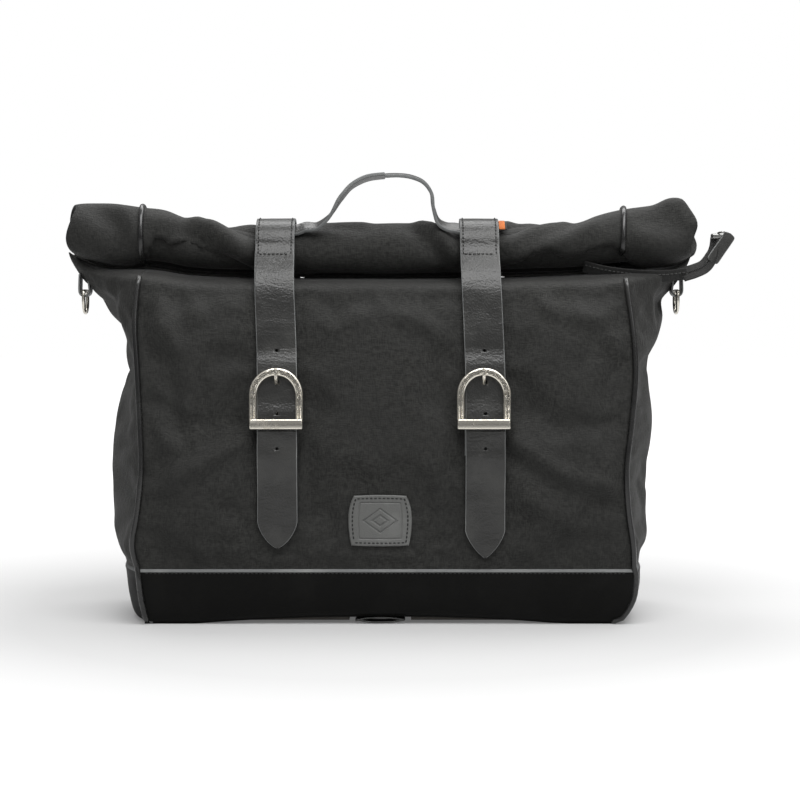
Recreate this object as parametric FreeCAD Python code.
import FreeCAD, Part
import math
import os

os.makedirs("parts", exist_ok=True)
V = FreeCAD.Vector

# A roll-top bicycle pannier. Millimetres. +Z up, the decorated front faces -Y, the rack side faces +Y,
# and the origin is on the ground at the middle of the base.

# ---------------------------------------------------------------- driving dimensions: the bag
HALF_WIDTH = 198.0          # middle of the bag to a corner piping, at the belly
DEPTH = 130.0               # front to back at the ground
NECK_Z = 278.0              # height where front and back come together under the roll
LEATHER_Z = 45.0            # height of the leather foot of the bag
TUCK = 11.0                 # the cotton goes this far down behind the leather
BELLY_Z = 125.0             # height of the fullest part of the front
CHEST_DROP = 72.0           # the neck down to the chest, where the front starts to lean back
SHOULDER_DROP = 12.0        # the neck down to the shoulder, where the front folds back
BELLY_OUT = 7.0             # how far the belly stands in front of the foot
FOOT_STEP = 2.0             # the top of the foot lies this far behind the belly
BACK_OUT = 3.0              # how far the back stands behind the foot
NECK_Y = -1.0               # the neck lies a little behind the middle of the roll
NECK_GAP = 12.0             # front face to back face at the neck
GUSSET_SPREAD = 60.0        # how far the flattened side panel reaches past the piping at the neck
GUSSET_LIFT = 10.0          # the flattened side panel rises this much towards its tip
FABRIC_T = 1.2              # waxed cotton with its lining
LEATHER_T = 2.5             # foot leather and straps
PIPE_R = 2.2                # corner piping
LAYER_GAP = 0.2             # between two layers that are sewn together
CLEAR = 0.3                 # between pieces that lie side by side
PIN_PLAY = 0.1              # round a pin that something turns on
ARCH_HALF = 150.0           # the front lower edge rises between its feet: half the span
ARCH_RISE = 6.0             # and the rise
SIDE_FLAT = 0.36            # half of the flat outer strip of a side panel, as a share of the depth

# ---------------------------------------------------------------- driving dimensions: roll and zip
ROLL_R = 22.5               # rolled-up top, middle
ROLL_Y = -8.0               # its middle lies a little in front of the middle of the bag
ROLL_HALF = 263.0           # half its length
ROLL_END_LIFT = 15.0        # the free ends turn up
ROLL_END_RY = 18.0          # half depth of the ends
ROLL_END_RZ = 25.0          # half height of the ends
ROLL_STRAIGHT = 112.0       # half of the stretch that the straps hold straight
ROLL_SEAT = 1.5             # the roll stands this much clear of the neck
ROLL_SIDES = 16             # faces round the roll
ROLL_STEPS = 4              # sections in each free end
TAPE_LENGTH = 10.0          # zip tape that sticks out of the right end
TAPE_WIDTH = 26.0
TAPE_T = 1.6
TAPE_DROP = 4.0             # the tape leaves the end of the roll this far below its middle
SLIDER = (12.0, 9.0, 6.0)   # zip slider: length, width, height
SLIDER_UNDER = 1.0          # how much of the slider is under the tape
PULL_LENGTH = 26.0          # leather puller
PULL_WIDTH = 16.0
PULL_T = 2.4
PULL_PIN_R = 1.5
PIN_LIP = 1.2               # head of the puller's pin: its height, and how far it stands past the pin
PULL_OVER = 4.0             # the puller reaches this far above its pin
PULL_CORNER = 3.0
PULL_SIDE = 1.0             # the puller hangs this much clear of the tape

# ---------------------------------------------------------------- driving dimensions: straps and buckles
STRAP_X = 83.0              # each strap lies this far from the middle
STRAP_WIDTH = 32.0
STRAP_T = 2.5
HANDLE_T = 2.6              # the handle ends lie between strap and roll
STRAP_BACK_END = 56.0       # strap end on the back, below the neck
TAIL_TIP_LEFT = 63.0        # height of the free tips
TAIL_TIP_RIGHT = 55.0
BUCKLE_DROP = 39.0          # chest down to the centre bar of the buckle
FRAME_WALL = 5.0            # width of the frame seen from the front
FRAME_TOP = 40.0            # centre bar to the top of the arc
KEEPER_LOW = 9.0            # centre bar to the lower edge of the keeper
KEEPER_TALL = 8.0
FRAME_PLAY = 0.5            # side play of the strap in the frame
STRAP_SEAT = 0.8            # the strap stands this much clear of the front
PAST_KEEPER = 1.5           # strap and tail meet this far below the keeper
KEEPER_DIP = 0.6            # and this much nearer to the panel than over the bar
BAR_R = 1.8
BAR_OUT = 4.15              # centre bar in front of the panel
STRAP_OVER_BAR = 8.2        # back face of the strap in front of the bar
STRAP_UNDER_ARC = 5.9       # back face of the strap behind the arc
ARC_BACK = 8.8              # arc, back and front face
ARC_FRONT = 13.2
KEEPER_BACK = 11.0
KEEPER_FRONT = 14.0
CHAPE_T = 1.8               # leather that holds the centre bar
CHAPE_LENGTH = 30.0
PRONG_W = 3.0
PRONG_T = 2.4
PRONG_LOW = 0.7             # the prong's shank runs this much nearer the panel than its bar
HOLE_R = 1.3
HOLE_PITCH = 29.0
HOLE_V = 28.5               # engaged hole above the centre bar
SLOT_SIDE = 0.7             # engaged hole past the prong, to each side
SLOT_UNDER = 6.5            # below and above the hole
SLOT_OVER = 5.5
POINT_LENGTH = 12.0         # pointed stretch of the free end
BAR_PLAY = 0.15             # chape round the centre bar
PRONG_RING_T = 1.6

# ---------------------------------------------------------------- driving dimensions: handle and trim
HANDLE_WIDTH = 20.0
HANDLE_ROOT_WIDTH = 12.0
HANDLE_STRIP_T = 3.0
HANDLE_RISE = 42.0          # the top of the strip above its roots
HANDLE_ANGLE = 48.0         # place of the roots on the roll, from the horizontal
HANDLE_OVER_ROLL = 8.0      # roots above the surface of the roll
PATCH_W = 50.0
PATCH_H = 43.0
PATCH_T = 1.6
PATCH_BOW = 2.0
PATCH_Z = 85.0
TAG_W = 5.0                 # small woven tag beside the right strap
TAG_T = 1.0
TAG_FROM, TAG_TO = 100, 136     # degrees round the roll
RING_WIRE_R = 1.5           # side D-rings
RING_HALF = 10.5
RING_DROP = 18.0
RING_Z_DROP = 9.0           # pivot of the ring below the neck
RING_INSET = 6.5            # and inside the tip of the flattened side
RING_PLAY = 0.2             # leather round the ring's bar
TAB_T = 1.8
TAB_W = 16.0
LOOP_W = 46.0               # flat leather loop under the front edge
LOOP_T = 1.5
LOOP_H = 5.5
LOOP_DEPTH = 14.0
LOOP_EYE = 9.0              # flat stretch at each end of the loop
BOARD_T = 2.5               # stiff board in the base
BOARD_INSET = 4.0           # board and stiffener end this far from the corners
STIFFENER_T = 2.5           # stiff sheet in the back

# ---------------------------------------------------------------- driving dimensions: rack side
RAIL_LENGTH = 300.0
LOWER_RAIL_LENGTH = 170.0
RAIL_H = 24.0
RAIL_D = 8.0
RAIL_WALL = 2.0
RAIL_MOUTH = 10.0
RAIL_Z_DROP = 70.0          # neck down to the middle of the upper rail
LOWER_RAIL_Z = 90.0
SLIDE_CLEAR = 0.4
FOOT_LIP = 0.5              # foot of a hook clear of the rail, each side
SCREW_R = 2.5
SCREW_CLEAR = 0.25          # hole round a screw
SCREW_HEAD_R = 4.2
SCREW_HEAD_H = 2.4
SCREW_X = 140.0
LOWER_SCREW_X = 77.0
NUT_R = 4.6
NUT_H = 4.0
TUBE_R = 8.0                # rack tube that the hooks sit on
HOOK_WALL = 5.5
HOOK_W = 28.0
HOOK_X = 80.0
TUBE_RISE = 35.0            # rack tube above the middle of the rail
HOOK_NOSE = 8.0
LATCH_W = 16.0
LATCH_PIN_RISE = 2.5        # latch pin above the rail
JAW_REACH = 9.0             # how far the jaw reaches under the tube from its pin
LEVER_DROP = 14.0           # thumb lever below the pin
PIN_R = 1.5
KNUCKLE_R = 2.4
ARM_LENGTH = 62.0           # lower hook, pivot to tip
ARM_W = 16.0
ARM_T = 4.5
ARM_SLOT = 11.0
ARM_NOSE = 18.0             # height of the arm's turned-up end
PIVOT_R = 4.0
PIVOT_HEAD_R = 7.0
PIVOT_HEAD_T = 2.5
SLIDER_HALF = 15.0          # sliding block of the lower hook: half width and thickness
SLIDER_T = 4.0

# ---------------------------------------------------------------- derived heights and the body's stations
CHEST_Z = NECK_Z - CHEST_DROP
SHOULDER_Z = NECK_Z - SHOULDER_DROP
LEAN_Z = SHOULDER_Z - 18.0
BAR_Z = CHEST_Z - BUCKLE_DROP
ROLL_Z = NECK_Z + ROLL_SEAT + ROLL_R
HALF_DEPTH = DEPTH / 2

# height, front face, back face, corner piping, side panel past the piping
STATIONS = [
    (0.0, HALF_DEPTH, HALF_DEPTH, HALF_WIDTH - 10, 10.0),
    (LEATHER_Z, HALF_DEPTH + BELLY_OUT - FOOT_STEP, HALF_DEPTH + BACK_OUT, HALF_WIDTH - 3, 15.0),
    (BELLY_Z, HALF_DEPTH + BELLY_OUT, HALF_DEPTH + BACK_OUT, HALF_WIDTH, 25.0),
    (CHEST_Z, HALF_DEPTH, HALF_DEPTH + BACK_OUT, HALF_WIDTH - 2, 16.0),
    (LEAN_Z, HALF_DEPTH - 4, HALF_DEPTH + BACK_OUT, HALF_WIDTH - 4, 31.0),
    (SHOULDER_Z, HALF_DEPTH - 13, HALF_DEPTH + BACK_OUT - 2, HALF_WIDTH - 5, 47.0),
    (NECK_Z, -(NECK_Y - NECK_GAP / 2), NECK_Y + NECK_GAP / 2, HALF_WIDTH - 5, GUSSET_SPREAD),
]


def station(z):
    """Front, back, piping and side bulge at a height, straight between the stations."""
    for low, high in zip(STATIONS, STATIONS[1:]):
        if z <= high[0]:
            share = (z - low[0]) / (high[0] - low[0])
            return [a + share * (b - a) for a, b in zip(low[1:], high[1:])]
    return list(STATIONS[-1][1:])


# ---------------------------------------------------------------- small tools
def ribbon(path, thickness):
    """Closed outline of a strip: the path and its copy set off to the left by the thickness."""
    normals = []
    for (a0, b0), (a1, b1) in zip(path, path[1:]):
        length = math.hypot(a1 - a0, b1 - b0)
        normals.append((-(b1 - b0) / length, (a1 - a0) / length))
    offset = []
    for i, (a, b) in enumerate(path):
        before = normals[max(i - 1, 0)]
        after = normals[min(i, len(normals) - 1)]
        mid = (before[0] + after[0], before[1] + after[1])
        scale = 2 * thickness / (mid[0] ** 2 + mid[1] ** 2)
        offset.append((a + mid[0] * scale, b + mid[1] * scale))
    return path + offset[::-1]


def shifted(path, distance):
    """The path set off to its left."""
    return ribbon(path, distance)[len(path):][::-1]


def face(points):
    return Part.Face(Part.makePolygon(points + [points[0]]))


def along_x(outline, x0, x1):
    """Solid of a (y, z) outline between two x."""
    return face([V(x0, y, z) for y, z in outline]).extrude(V(x1 - x0, 0, 0))


def along_y(outline, y0, y1):
    """Solid of an (x, z) outline between two y."""
    return face([V(x, y0, z) for x, z in outline]).extrude(V(0, y1 - y0, 0))


def box(x0, x1, y0, y1, z0, z1):
    return Part.makeBox(x1 - x0, y1 - y0, z1 - z0, V(x0, y0, z0))


def rod(radius, start, end):
    way = end - start
    return Part.makeCylinder(radius, way.Length, start, way)


def one(shape):
    """Joins coplanar faces and returns the single solid."""
    shape = shape.removeSplitter()
    if len(shape.Solids) != 1:
        raise ValueError("a piece came out as %d solids" % len(shape.Solids))
    return shape.Solids[0]


def mirrored(shape):
    return shape.mirror(V(0, 0, 0), V(1, 0, 0))


def save(name, shape):
    if not shape.isValid():
        raise ValueError(name + " is not a valid solid")
    shape.exportStep("parts/" + name + ".step")


def arc_points(centre, radius, start, end, count):
    """Points on a circle, angles in degrees."""
    points = []
    for i in range(count + 1):
        angle = math.radians(start + (end - start) * i / count)
        points.append((centre[0] + radius * math.cos(angle), centre[1] + radius * math.sin(angle)))
    return points


# ---------------------------------------------------------------- cotton and leather of the body
def front_line(z_from, z_to):
    heights = [z_from] + [s[0] for s in STATIONS if z_from < s[0] < z_to] + [z_to]
    return [(-station(z)[0], z) for z in heights]


def back_line(z_from, z_to):
    heights = [z_from] + [s[0] for s in STATIONS if z_from < s[0] < z_to] + [z_to]
    return [(station(z)[1], z) for z in heights]


PIPE_CLEAR = PIPE_R + CLEAR + 0.1


def panel_trim():
    """Block as wide as a panel between its two corner pipings, at every height."""
    edge = [(s[3] - PIPE_CLEAR, s[0]) for s in STATIONS]
    edge[0] = (edge[0][0], -1.0)
    edge[-1] = (edge[-1][0], NECK_Z + 1)
    outline = edge + [(-x, z) for x, z in edge[::-1]]
    return along_y(outline, -2 * DEPTH, 2 * DEPTH)


def gusset_path(z):
    """Right side panel seen from above, from the front piping round to the back piping."""
    front, back, half, bulge = station(z)
    x = half + PIPE_R + FABRIC_T + CLEAR
    tip = half + bulge
    middle = (back - front) / 2
    reach = SIDE_FLAT * (front + back) / 2
    return [(x, -front + 1), (tip, middle - reach), (tip, middle + reach), (x, back - 1)]


def gusset_wire(z, path, thickness, lift=0.0):
    outline = ribbon(path, thickness)
    base_x = path[0][0]
    span = path[1][0] - base_x
    points = [V(x, y, z + lift * (x - base_x) / span) for x, y in outline]
    return Part.makePolygon(points + [points[0]])


def gusset_panel():
    heights = [LEATHER_Z - TUCK] + [s[0] for s in STATIONS[1:-1]]
    wires = [gusset_wire(z, gusset_path(z), FABRIC_T) for z in heights]
    wires.append(gusset_wire(NECK_Z, gusset_path(NECK_Z), FABRIC_T, GUSSET_LIFT))
    return Part.makeLoft(wires, True, True)


def leather_end():
    wires = []
    for z in (0.0, LEATHER_Z):
        outside = shifted(gusset_path(z), -LAYER_GAP)
        wires.append(gusset_wire(z, outside, -LEATHER_T))
    return Part.makeLoft(wires, True, True)


def arch_cut():
    """What the raised front lower edge leaves out."""
    chord = Part.LineSegment(V(ARCH_HALF, 0, 0), V(-ARCH_HALF, 0, 0)).toShape()
    bow = Part.Arc(V(-ARCH_HALF, 0, 0), V(0, 0, ARCH_RISE), V(ARCH_HALF, 0, 0)).toShape()
    blank = Part.Face(Part.Wire([chord, bow]))
    return blank.extrude(V(0, -DEPTH, 0))


def piping(side_y):
    """Tube along a right-hand corner, mitred at the stations."""
    path = []
    for z in [1.0] + [s[0] for s in STATIONS[1:-1]] + [NECK_Z - 1.5]:
        front, back, half, bulge = station(z)
        path.append(V(half, -front if side_y < 0 else back, z if z > 1 else PIPE_R * 0.2))
    spine = Part.makePolygon(path)
    profile = Part.Wire(Part.makeCircle(PIPE_R, path[0], path[1] - path[0]))
    tube = spine.makePipeShell([profile], True, False, 1)
    return tube.common(box(0, 2 * HALF_WIDTH, -DEPTH, DEPTH, 0, NECK_Z))


def leather_base():
    half = STATIONS[0][3]
    sheet = box(-half - 3, half + 3, -HALF_DEPTH, HALF_DEPTH, 0, LEATHER_T)
    for x in (-half, half):
        for y in (-HALF_DEPTH, HALF_DEPTH):
            sheet = sheet.cut(rod(PIPE_CLEAR, V(x, y, -1), V(x, y, LEATHER_T + 1)))
    return sheet.cut(loop_room())


def loop_room():
    """Notch in the base above the loop."""
    return box(-LOOP_W / 2 - 2, LOOP_W / 2 + 2, -HALF_DEPTH - 1, -HALF_DEPTH + LOOP_DEPTH + 4, -1, 9)


def screw_places():
    """Axes of the rail screws, as x and z."""
    upper = [(x, RAIL_Z) for x in (-SCREW_X, 0.0, SCREW_X)]
    lower = [(x, LOWER_RAIL_Z) for x in (-LOWER_SCREW_X, LOWER_SCREW_X)]
    return upper + lower


def screw_holes(shape):
    for x, z in screw_places():
        shape = shape.cut(rod(SCREW_R + SCREW_CLEAR, V(x, 0, z), V(x, DEPTH, z)))
    return shape


RAIL_Z = NECK_Z - RAIL_Z_DROP
BACK_FACE = HALF_DEPTH + BACK_OUT
STIFF_FACE = HALF_DEPTH + 0.4

trim = panel_trim()
PAST = 2 * HALF_WIDTH
front_panel = along_x(ribbon(front_line(LEATHER_Z - TUCK, NECK_Z), -FABRIC_T), -PAST, PAST)
back_panel = along_x(ribbon(back_line(LEATHER_Z - TUCK, NECK_Z), FABRIC_T), -PAST, PAST)
save("front_panel", one(front_panel.common(trim)))
save("back_panel", one(screw_holes(back_panel.common(trim))))

front_foot = ribbon(shifted(front_line(0.0, LEATHER_Z), LAYER_GAP), LEATHER_T)
back_foot = ribbon(shifted(back_line(0.0, LEATHER_Z), -LAYER_GAP), -LEATHER_T)
front_foot_solid = along_x(front_foot, -PAST, PAST).common(trim)
ground = box(-PAST, PAST, -2 * DEPTH, 2 * DEPTH, 0, NECK_Z)
save("leather_front", one(front_foot_solid.common(ground).cut(arch_cut())))
save("leather_back", one(along_x(back_foot, -PAST, PAST).common(trim).common(ground)))
save("leather_base", one(leather_base()))
for name, right in (("gusset", gusset_panel()), ("leather_end", leather_end())):
    save(name + "_right", one(right))
    save(name + "_left", one(mirrored(right)))
for name, side_y in (("front", -1), ("rear", 1)):
    tube = one(piping(side_y))
    save("piping_" + name + "_right", tube)
    save("piping_" + name + "_left", mirrored(tube))

board_half = STATIONS[0][3] - BOARD_INSET
board_low = LEATHER_T + CLEAR
board = box(-board_half, board_half, -HALF_DEPTH + 3, HALF_DEPTH - 3, board_low, board_low + BOARD_T)
save("base_board", one(board.cut(loop_room())))
stiffener = box(-board_half, board_half, STIFF_FACE - STIFFENER_T, STIFF_FACE, 8, SHOULDER_Z - 8)
save("back_stiffener", one(screw_holes(stiffener)))


# ---------------------------------------------------------------- rolled top, zip end, tag
def roll_wire(x):
    """Many-sided outline of the roll: round in the middle, taller and lifted towards the free ends."""
    share = max(0.0, (abs(x) - ROLL_STRAIGHT) / (ROLL_HALF - ROLL_STRAIGHT))
    ease = share * share
    half_y = ROLL_R + (ROLL_END_RY - ROLL_R) * ease
    half_z = ROLL_R + (ROLL_END_RZ - ROLL_R) * ease
    round_points = arc_points((0, 0), 1, 0, 360, ROLL_SIDES)
    middle_z = ROLL_Z + ROLL_END_LIFT * ease
    return Part.makePolygon([V(x, ROLL_Y + half_y * y, middle_z + half_z * z) for y, z in round_points])


step = (ROLL_HALF - ROLL_STRAIGHT) / ROLL_STEPS
right_places = [ROLL_STRAIGHT + step * i for i in range(ROLL_STEPS + 1)]
roll_wires = [roll_wire(x) for x in [-x for x in right_places[::-1]] + right_places]
save("roll_top", Part.makeLoft(roll_wires, True, True))

END_Z = ROLL_Z + ROLL_END_LIFT
TAPE_X = ROLL_HALF + CLEAR
TAPE_Z = END_Z - TAPE_DROP
tape = box(TAPE_X, TAPE_X + TAPE_LENGTH, ROLL_Y - TAPE_WIDTH / 2, ROLL_Y + TAPE_WIDTH / 2,
           TAPE_Z, TAPE_Z + TAPE_T)
save("zip_tape", one(tape))
SLIDER_X = TAPE_X + TAPE_LENGTH + CLEAR
PULL_X = SLIDER_X + PULL_WIDTH / 2 + PULL_SIDE
slider = box(SLIDER_X, SLIDER_X + SLIDER[0], ROLL_Y - SLIDER[1] / 2, ROLL_Y + SLIDER[1] / 2,
             TAPE_Z - SLIDER_UNDER, TAPE_Z - SLIDER_UNDER + SLIDER[2])
PULL_Y = ROLL_Y - SLIDER[1] / 2 - CLEAR - PULL_T / 2
PULL_Z = TAPE_Z + SLIDER[2] / 2 - SLIDER_UNDER
pin_end = PULL_Y - PULL_T / 2 - CLEAR - PIN_LIP
pull_pin = rod(PULL_PIN_R, V(PULL_X, ROLL_Y - SLIDER[1] / 2, PULL_Z), V(PULL_X, pin_end, PULL_Z))
pull_head = rod(PULL_PIN_R + PIN_LIP, V(PULL_X, pin_end, PULL_Z), V(PULL_X, pin_end + PIN_LIP, PULL_Z))
save("zip_slider", one(slider.fuse(pull_pin).fuse(pull_head)))
pull = box(PULL_X - PULL_WIDTH / 2, PULL_X + PULL_WIDTH / 2, PULL_Y - PULL_T / 2, PULL_Y + PULL_T / 2,
           PULL_Z + PULL_OVER - PULL_LENGTH, PULL_Z + PULL_OVER)
pull = pull.makeFillet(PULL_CORNER, [e for e in pull.Edges if abs(e.tangentAt(e.FirstParameter).y) > 0.9])
pull_hole = rod(PULL_PIN_R + PIN_PLAY, V(PULL_X, 0, PULL_Z), V(PULL_X, 2 * ROLL_Y, PULL_Z))
save("zip_pull", one(pull.cut(pull_hole)))

tag_x = STRAP_X + STRAP_WIDTH / 2 + CLEAR
tag_outline = ribbon(arc_points((ROLL_Y, ROLL_Z), ROLL_R + CLEAR + LAYER_GAP, TAG_FROM, TAG_TO, 4), -TAG_T)
save("side_tag", one(along_x(tag_outline, tag_x, tag_x + TAG_W)))


# ---------------------------------------------------------------- buckles, drawn flat on the front panel
lean = math.atan2(BELLY_OUT, CHEST_Z - BELLY_Z)
bar_share = (BAR_Z - BELLY_Z) / (CHEST_Z - BELLY_Z)
BAR_PANEL_Y = -(HALF_DEPTH + BELLY_OUT * (1 - bar_share))


def on_panel(v, w):
    """(y, z) of a point v above the centre bar along the panel and w in front of it."""
    y = BAR_PANEL_Y + v * math.sin(lean) - w * math.cos(lean)
    z = BAR_Z + v * math.cos(lean) + w * math.sin(lean)
    return (y, z)


def set_on_panel(shape):
    """Moves a shape drawn with v along Y and w along Z to the panel, in the middle of the bag."""
    turned = shape.copy()
    turned.Placement = FreeCAD.Placement(V(0, BAR_PANEL_Y, BAR_Z),
                                         FreeCAD.Rotation(V(1, 0, 0), 90 - math.degrees(lean)))
    return turned


FRAME_IN = STRAP_WIDTH / 2 + FRAME_PLAY
FRAME_OUT = FRAME_IN + FRAME_WALL


def arched_plate(half, low, top, w0, w1):
    """Plate with straight sides, a square foot and a half-round top."""
    spring = top - half
    flat = box(-half, half, low, spring, w0, w1)
    return flat.fuse(Part.makeCylinder(half, w1 - w0, V(0, spring, w0)))


def buckle_frame():
    outer = arched_plate(FRAME_OUT, -KEEPER_LOW, FRAME_TOP, ARC_BACK, ARC_FRONT)
    inner = arched_plate(FRAME_IN, -KEEPER_LOW - 1, FRAME_TOP - FRAME_WALL, ARC_BACK - 1, ARC_FRONT + 1)
    frame = outer.cut(inner)
    keeper = box(-FRAME_OUT, FRAME_OUT, -KEEPER_LOW, -KEEPER_LOW + KEEPER_TALL, KEEPER_BACK, KEEPER_FRONT)
    frame = frame.fuse(keeper)
    cheek = box(FRAME_IN, FRAME_OUT, -4, 4, BAR_OUT - BAR_R, ARC_BACK)
    frame = frame.fuse(cheek).fuse(cheek.mirror(V(0, 0, 0), V(1, 0, 0)))
    return frame.fuse(rod(BAR_R, V(-FRAME_IN, 0, BAR_OUT), V(FRAME_IN, 0, BAR_OUT)))


def chape():
    half = FRAME_IN - 1
    ring_r = BAR_R + BAR_PLAY + CHAPE_T
    wrap = rod(ring_r, V(-half, 0, BAR_OUT), V(half, 0, BAR_OUT))
    slab = box(-half, half, -CHAPE_LENGTH, 0, BAR_OUT - ring_r, BAR_OUT - ring_r + 2 * CHAPE_T)
    body = wrap.fuse(slab)
    body = body.cut(rod(BAR_R + BAR_PLAY, V(-half - 1, 0, BAR_OUT), V(half + 1, 0, BAR_OUT)))
    slot = PRONG_W / 2 + 0.6
    return body.cut(box(-slot, slot, -6, 8, -1, 12))


def prong():
    ring_in = BAR_R + PIN_PLAY
    ring_out = ring_in + PRONG_RING_T
    half = PRONG_W / 2
    ring = rod(ring_out, V(-half, 0, BAR_OUT), V(half, 0, BAR_OUT))
    tip = FRAME_TOP - 1
    over = ARC_FRONT + BAR_PLAY
    under = BAR_OUT - PRONG_LOW - PRONG_T / 2
    spine = [(2.4, under), (HOLE_V - 4.5, under), (HOLE_V + 5.2, over), (tip, over)]
    shank = face([V(-half, v, w) for v, w in ribbon(spine, PRONG_T)]).extrude(V(PRONG_W, 0, 0))
    body = ring.fuse(shank)
    return body.cut(rod(ring_in, V(-half - 1, 0, BAR_OUT), V(half + 1, 0, BAR_OUT)))


def strap_front_path():
    """Back face of the strap as (y, z), from the keeper up to the roll, leaving out the roll itself."""
    return [
        on_panel(-KEEPER_LOW - PAST_KEEPER, STRAP_OVER_BAR - KEEPER_DIP), on_panel(-4, STRAP_OVER_BAR),
        on_panel(4, STRAP_OVER_BAR), on_panel(FRAME_TOP / 2, STRAP_UNDER_ARC + 0.1),
        on_panel(FRAME_TOP + 1.5, STRAP_UNDER_ARC),
        (-station(LEAN_Z)[0] - STRAP_SEAT, LEAN_Z + 1),
        (-station(SHOULDER_Z)[0] - STRAP_SEAT - 0.1, SHOULDER_Z + 0.9),
    ]


STRAP_ROLL_R = ROLL_R + HANDLE_T + 2 * CLEAR


def strap_upper():
    """Strap from its sewn end on the back, over the roll, down to the keeper."""
    back_low = (BACK_FACE + CLEAR, NECK_Z - STRAP_BACK_END)
    back_top = (station(SHOULDER_Z)[1] + 1.2, SHOULDER_Z + 0.9)
    over = arc_points((ROLL_Y, ROLL_Z), STRAP_ROLL_R, 150, 35, 14)
    path = strap_front_path() + over + [back_top, (BACK_FACE + CLEAR, SHOULDER_Z - 16), back_low]
    strap = along_x(ribbon(path, STRAP_T), -STRAP_WIDTH / 2, STRAP_WIDTH / 2)
    slot_half = PRONG_W / 2 + SLOT_SIDE
    slot = box(-slot_half, slot_half, HOLE_V - SLOT_UNDER, HOLE_V + SLOT_OVER, 3, 16)
    strap = strap.cut(set_on_panel(slot))
    for v in (HOLE_V - HOLE_PITCH + 4, HOLE_V + HOLE_PITCH - 3):
        strap = strap.cut(set_on_panel(rod(HOLE_R, V(0, v, 0), V(0, v, 20))))
    return strap


def strap_tail(tip_z):
    """Free end, lying against the chape and the front."""
    top = on_panel(-KEEPER_LOW - PAST_KEEPER - CLEAR, STRAP_OVER_BAR - KEEPER_DIP)
    chape_end = on_panel(-CHAPE_LENGTH - 1, BAR_OUT - BAR_R + 2 * CHAPE_T - 0.2)
    rest_z = BELLY_Z - 8
    rest = (-station(rest_z)[0] - STRAP_SEAT, rest_z)
    tip = (-station(tip_z)[0] - STRAP_SEAT, tip_z)
    path = [tip, rest, chape_end, top]
    tail = along_x(ribbon(path, STRAP_T), -STRAP_WIDTH / 2, STRAP_WIDTH / 2)
    for v in (HOLE_V - 2 * HOLE_PITCH + 5, HOLE_V - 3 * HOLE_PITCH + 5):
        tail = tail.cut(set_on_panel(rod(HOLE_R, V(0, v, -5), V(0, v, 20))))
    half = STRAP_WIDTH / 2
    sides_end = tip_z + POINT_LENGTH
    point = [V(-half - 1, 0, tip_z - 1), V(-half - 1, 0, sides_end), V(-half, 0, sides_end),
             V(-half * 0.55, 0, tip_z + 2.5), V(0, 0, tip_z), V(half * 0.55, 0, tip_z + 2.5),
             V(half, 0, sides_end), V(half + 1, 0, sides_end), V(half + 1, 0, tip_z - 1)]
    return tail.cut(face(point).extrude(V(0, -2 * DEPTH, 0)))


upper_strap = one(strap_upper())
frame_solid = one(set_on_panel(buckle_frame()))
chape_solid = one(set_on_panel(chape()))
prong_solid = one(set_on_panel(prong()))
for name, x, tip_z in (("left", -STRAP_X, TAIL_TIP_LEFT), ("right", STRAP_X, TAIL_TIP_RIGHT)):
    save("strap_" + name, upper_strap.translated(V(x, 0, 0)))
    save("strap_tail_" + name, one(strap_tail(tip_z)).translated(V(x, 0, 0)))
    save("buckle_frame_" + name, frame_solid.translated(V(x, 0, 0)))
    save("buckle_chape_" + name, chape_solid.translated(V(x, 0, 0)))
    save("buckle_prong_" + name, prong_solid.translated(V(x, 0, 0)))


# ---------------------------------------------------------------- carry handle
root_r = ROLL_R + HANDLE_OVER_ROLL
HANDLE_Y = ROLL_Y - root_r * math.cos(math.radians(HANDLE_ANGLE))
HANDLE_Z = ROLL_Z + root_r * math.sin(math.radians(HANDLE_ANGLE))
ROOT_X = STRAP_X - STRAP_WIDTH / 2 - 3


def handle_arch():
    """Leather strip that stands up between the straps, steeper on the right."""
    shape = [(-1, 0), (-0.84, 0.03), (-0.69, 0.19), (-0.52, 0.57), (-0.39, 0.79), (-0.22, 0.93),
             (0.03, 1.0), (0.22, 1.01), (0.41, 0.97), (0.56, 0.87), (0.67, 0.66), (0.7, 0.36),
             (0.77, 0.1), (0.87, 0.02), (1, 0)]
    path = [(ROOT_X * across, HANDLE_Z + HANDLE_RISE * up) for across, up in shape]
    strip = along_y(ribbon(path, -HANDLE_STRIP_T), HANDLE_Y - HANDLE_WIDTH / 2, HANDLE_Y + HANDLE_WIDTH / 2)
    low = HANDLE_ROOT_WIDTH / 2
    wide = HANDLE_WIDTH / 2
    edge = [(low, -10), (low, 5), (wide, 13), (wide, 2 * HANDLE_RISE)]
    side = [(HANDLE_Y - out, HANDLE_Z + up) for out, up in edge]
    side += [(HANDLE_Y + out, HANDLE_Z + up) for out, up in edge[::-1]]
    return strip.common(along_x(side, -STRAP_X, STRAP_X))


def handle_end():
    """Sewn end of the handle: a tongue under the right strap and a riser beside the strap."""
    inner = ROLL_R + CLEAR
    reach = math.degrees(HANDLE_ROOT_WIDTH / 2 / ROLL_R)
    middle = 180 - HANDLE_ANGLE
    round_roll = arc_points((ROLL_Y, ROLL_Z), inner, middle + reach, middle - reach, 4)
    tongue = along_x(ribbon(round_roll, HANDLE_T), ROOT_X + CLEAR, STRAP_X + 8)
    half = HANDLE_ROOT_WIDTH / 2
    riser = box(-1.2, 1.2, -half, half, inner + 1, root_r - HANDLE_STRIP_T)
    riser.Placement = FreeCAD.Placement(V(ROOT_X + CLEAR + 1.2, ROLL_Y, ROLL_Z),
                                        FreeCAD.Rotation(V(1, 0, 0), 90 - HANDLE_ANGLE))
    return tongue.fuse(riser)


save("carry_handle", one(handle_arch()))
end_piece = one(handle_end())
save("handle_end_right", end_piece)
save("handle_end_left", mirrored(end_piece))


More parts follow.
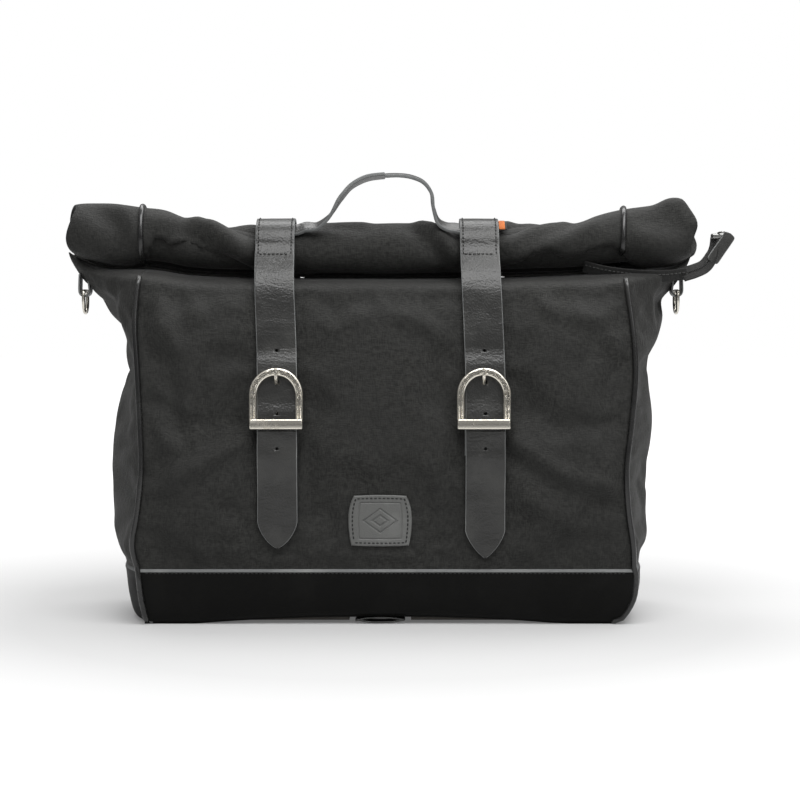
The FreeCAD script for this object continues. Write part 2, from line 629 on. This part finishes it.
# ---------------------------------------------------------------- patch, side rings, base loop
def patch():
    half_w = PATCH_W / 2
    half_h = PATCH_H / 2
    sides = [
        Part.Arc(V(-half_w, -half_h, 0), V(0, -half_h - PATCH_BOW, 0), V(half_w, -half_h, 0)),
        Part.Arc(V(half_w, -half_h, 0), V(half_w + PATCH_BOW, 0, 0), V(half_w, half_h, 0)),
        Part.Arc(V(half_w, half_h, 0), V(0, half_h + PATCH_BOW, 0), V(-half_w, half_h, 0)),
        Part.Arc(V(-half_w, half_h, 0), V(-half_w - PATCH_BOW, 0, 0), V(-half_w, -half_h, 0)),
    ]
    blank = Part.Face(Part.Wire([side.toShape() for side in sides])).extrude(V(0, 0, PATCH_T))
    tilt = math.degrees(math.atan2(FOOT_STEP, BELLY_Z - LEATHER_Z))
    blank.Placement = FreeCAD.Placement(V(0, -station(PATCH_Z)[0] - CLEAR, PATCH_Z),
                                        FreeCAD.Rotation(V(1, 0, 0), 90 + tilt))
    return blank


RING_Z = NECK_Z - RING_Z_DROP
RING_X = STATIONS[-1][3] + GUSSET_SPREAD - RING_INSET


def side_tab():
    """Folded leather tab: a wrap round the ring's bar and a slab up to the side panel."""
    wrap_r = RING_WIRE_R + RING_PLAY + TAB_T
    half = TAB_W / 2
    wrap = rod(wrap_r, V(RING_X, -half, RING_Z), V(RING_X, half, RING_Z))
    slab = box(RING_X - TAB_T, RING_X + TAB_T, -half, half, RING_Z, NECK_Z + 14)
    bar_hole = rod(RING_WIRE_R + RING_PLAY, V(RING_X, -TAB_W, RING_Z), V(RING_X, TAB_W, RING_Z))
    body = wrap.fuse(slab).cut(bar_hole)
    tip_top = gusset_path(NECK_Z)[1][0]
    tip_low = gusset_path(SHOULDER_Z)[1][0]
    slope = V(tip_top - tip_low, 0, NECK_Z + GUSSET_LIFT - SHOULDER_Z)
    away = V(slope.z, 0, -slope.x).normalize()
    corner = V(tip_low, 0, SHOULDER_Z) + away * CLEAR
    top = corner + slope * 3
    bottom = corner - slope
    inside = [(bottom.x, bottom.z), (top.x, top.z), (bottom.x - 200, top.z), (bottom.x - 200, bottom.z)]
    return body.cut(along_y(inside, -50, 50))


def d_ring():
    """Straight bar with a round bow below it."""
    bar = rod(RING_WIRE_R, V(RING_X, -RING_HALF, RING_Z), V(RING_X, RING_HALF, RING_Z))
    drop = RING_DROP - RING_HALF
    shape = bar
    for side in (-1, 1):
        shape = shape.fuse(Part.makeSphere(RING_WIRE_R, V(RING_X, side * RING_HALF, RING_Z)))
        shape = shape.fuse(rod(RING_WIRE_R, V(RING_X, side * RING_HALF, RING_Z),
                               V(RING_X, side * RING_HALF, RING_Z - drop)))
    bow = Part.makeTorus(RING_HALF, RING_WIRE_R, V(RING_X, 0, RING_Z - drop), V(1, 0, 0))
    low = box(RING_X - 5, RING_X + 5, -30, 30, RING_Z - 60, RING_Z - drop)
    return shape.fuse(bow.common(low))


def base_loop():
    """Flat lens-shaped leather loop in the notch of the base."""
    def lens(half, low, high):
        mid = LOOP_H / 2
        lower = Part.Arc(V(-half, 0, mid), V(0, 0, low), V(half, 0, mid)).toShape()
        upper = Part.Arc(V(half, 0, mid), V(0, 0, high), V(-half, 0, mid)).toShape()
        return Part.Face(Part.Wire([lower, upper])).extrude(V(0, LOOP_DEPTH, 0))
    eye = lens(LOOP_W / 2 - LOOP_EYE, LOOP_T + 0.1, LOOP_H - LOOP_T + 0.1)
    return lens(LOOP_W / 2, 0.1, LOOP_H + 0.1).cut(eye).translated(V(0, -HALF_DEPTH + 1, 0))


save("front_patch", patch())
tab_solid = one(side_tab())
ring_solid = one(d_ring())
save("side_tab_right", tab_solid)
save("side_tab_left", mirrored(tab_solid))
save("d_ring_right", ring_solid)
save("d_ring_left", mirrored(ring_solid))
save("base_loop", one(base_loop()))


# ---------------------------------------------------------------- rack side: rails, screws, hooks
RAIL_Y = BACK_FACE + CLEAR


def rail(length, z):
    """Channel with a slot, open at both ends."""
    half = length / 2
    low = z - RAIL_H / 2
    body = box(-half, half, RAIL_Y, RAIL_Y + RAIL_D, low, low + RAIL_H)
    room = box(-half - 1, half + 1, RAIL_Y + RAIL_WALL, RAIL_Y + RAIL_D - RAIL_WALL,
               low + RAIL_WALL, low + RAIL_H - RAIL_WALL)
    mouth = box(-half - 1, half + 1, RAIL_Y + RAIL_WALL, RAIL_Y + RAIL_D + 1,
                z - RAIL_MOUTH / 2, z + RAIL_MOUTH / 2)
    return screw_holes(body.cut(room).cut(mouth))


def rail_foot(x, half, z):
    """Foot of a sliding piece: a plate in the channel and a neck through its slot."""
    plate_half = RAIL_H / 2 - RAIL_WALL - FOOT_LIP
    y0 = RAIL_Y + RAIL_WALL + SLIDE_CLEAR
    y1 = RAIL_Y + RAIL_D - RAIL_WALL - SLIDE_CLEAR
    plate = box(x - half, x + half, y0, y1, z - plate_half, z + plate_half)
    neck_half = RAIL_MOUTH / 2 - FOOT_LIP
    y2 = RAIL_Y + RAIL_D + SLIDE_CLEAR + 0.1
    return plate.fuse(box(x - half, x + half, y1, y2, z - neck_half, z + neck_half))


HOOK_Y = RAIL_Y + RAIL_D + SLIDE_CLEAR
TUBE_Y = HOOK_Y + HOOK_WALL + TUBE_R
TUBE_Z = RAIL_Z + TUBE_RISE
PIN_Y = HOOK_Y + HOOK_WALL / 2
PIN_Z = RAIL_Z + RAIL_H / 2 + LATCH_PIN_RISE
JAW_TOP = TUBE_Z - TUBE_R - CLEAR - PIN_Z


def hook(x):
    """Hook over the rack tube, with a window for the latch."""
    half = HOOK_W / 2
    low = RAIL_Z - RAIL_H / 2
    outer_r = TUBE_R + HOOK_WALL
    body = rail_foot(x, half, RAIL_Z)
    body = body.fuse(box(x - half, x + half, HOOK_Y, HOOK_Y + HOOK_WALL, low, TUBE_Z))
    crown = rod(outer_r, V(x - half, TUBE_Y, TUBE_Z), V(x + half, TUBE_Y, TUBE_Z))
    crown = crown.common(box(x - half, x + half, HOOK_Y, HOOK_Y + 3 * outer_r, TUBE_Z, TUBE_Z + 2 * outer_r))
    nose = box(x - half, x + half, TUBE_Y + TUBE_R, TUBE_Y + outer_r, TUBE_Z - HOOK_NOSE, TUBE_Z)
    body = body.fuse(crown).fuse(nose)
    body = body.cut(rod(TUBE_R, V(x - half - 1, TUBE_Y, TUBE_Z), V(x + half + 1, TUBE_Y, TUBE_Z)))
    window = LATCH_W / 2 + CLEAR
    jaw_swing = math.hypot(JAW_REACH, JAW_TOP) + 1
    body = body.cut(box(x - window, x + window, HOOK_Y, HOOK_Y + HOOK_WALL + 1,
                        PIN_Z - LEVER_DROP - 2, PIN_Z + jaw_swing))
    return body.cut(rod(PIN_R + 0.02, V(x - half - 1, PIN_Y, PIN_Z), V(x + half + 1, PIN_Y, PIN_Z)))


def latch(x):
    """Rocker that closes the hook: jaw under the tube above its pin, thumb lever below it."""
    outline = [(-1.6, -1), (-1.6, JAW_TOP - 0.2), (2, JAW_TOP), (JAW_REACH, JAW_TOP - 1.2),
               (JAW_REACH, JAW_TOP - 4), (2, JAW_TOP - 5.5), (2, -3), (5, 1 - LEVER_DROP),
               (3, -LEVER_DROP), (-1.2, -3)]
    half = LATCH_W / 2
    body = along_x([(PIN_Y + y, PIN_Z + z) for y, z in outline], x - half, x + half)
    body = body.fuse(rod(KNUCKLE_R, V(x - half, PIN_Y, PIN_Z), V(x + half, PIN_Y, PIN_Z)))
    return body.cut(rod(PIN_R + 0.08, V(x - half - 1, PIN_Y, PIN_Z), V(x + half + 1, PIN_Y, PIN_Z)))


def screw(x, z):
    head_y = RAIL_Y + RAIL_WALL
    inner_y = STIFF_FACE - STIFFENER_T - NUT_H - 1
    shank = rod(SCREW_R, V(x, head_y, z), V(x, inner_y, z))
    return shank.fuse(rod(SCREW_HEAD_R, V(x, head_y, z), V(x, head_y + SCREW_HEAD_H, z)))


def nut(x, z):
    corners = [(x + NUT_R * math.cos(math.radians(60 * i)), z + NUT_R * math.sin(math.radians(60 * i)))
               for i in range(6)]
    top = STIFF_FACE - STIFFENER_T - 0.05
    body = along_y(corners, top - NUT_H, top)
    return body.cut(rod(SCREW_R + 0.05, V(x, top - 2 * NUT_H, z), V(x, top + 1, z)))


save("upper_rail", one(rail(RAIL_LENGTH, RAIL_Z)))
save("lower_rail", one(rail(LOWER_RAIL_LENGTH, LOWER_RAIL_Z)))
save("rail_screws", Part.makeCompound([one(screw(x, z)) for x, z in screw_places()]))
save("rail_nuts", Part.makeCompound([one(nut(x, z)) for x, z in screw_places()]))
for name, x in (("left", -HOOK_X), ("right", HOOK_X)):
    save("rack_hook_" + name, one(hook(x)))
    save("hook_latch_" + name, one(latch(x)))
    half = HOOK_W / 2 - 0.5
    save("latch_pin_" + name, rod(PIN_R, V(x - half, PIN_Y, PIN_Z), V(x + half, PIN_Y, PIN_Z)))

ARM_Y = HOOK_Y + SLIDER_T + CLEAR


def lower_slider():
    """Sliding block of the lower hook, with its pivot."""
    body = rail_foot(0.0, SLIDER_HALF, LOWER_RAIL_Z)
    low = LOWER_RAIL_Z - RAIL_H / 2
    body = body.fuse(box(-SLIDER_HALF, SLIDER_HALF, HOOK_Y, HOOK_Y + SLIDER_T, low, low + RAIL_H))
    return body.fuse(rod(PIVOT_R, V(0, HOOK_Y, LOWER_RAIL_Z), V(0, ARM_Y + ARM_T + CLEAR, LOWER_RAIL_Z)))


def lower_arm():
    """Arm that hooks behind the rack's stay, hanging from the pivot."""
    half = ARM_W / 2
    y1 = ARM_Y + ARM_T
    bar = box(-half, half, ARM_Y, y1, LOWER_RAIL_Z - ARM_LENGTH, LOWER_RAIL_Z)
    head = rod(half + 2, V(0, ARM_Y, LOWER_RAIL_Z), V(0, y1, LOWER_RAIL_Z))
    foot = box(-half, half, y1, y1 + ARM_SLOT, LOWER_RAIL_Z - ARM_LENGTH, LOWER_RAIL_Z - ARM_LENGTH + ARM_T)
    nose = box(-half, half, y1 + ARM_SLOT, y1 + ARM_SLOT + ARM_T,
               LOWER_RAIL_Z - ARM_LENGTH, LOWER_RAIL_Z - ARM_LENGTH + ARM_NOSE)
    body = bar.fuse(head).fuse(foot).fuse(nose)
    return body.cut(rod(PIVOT_R + PIN_PLAY, V(0, 0, LOWER_RAIL_Z), V(0, 2 * DEPTH, LOWER_RAIL_Z)))


def pivot_cap():
    y0 = ARM_Y + ARM_T + CLEAR
    return rod(PIVOT_HEAD_R, V(0, y0, LOWER_RAIL_Z), V(0, y0 + PIVOT_HEAD_T, LOWER_RAIL_Z))


save("lower_hook_slider", one(lower_slider()))
save("lower_hook_arm", one(lower_arm()))
save("pivot_cap", pivot_cap())
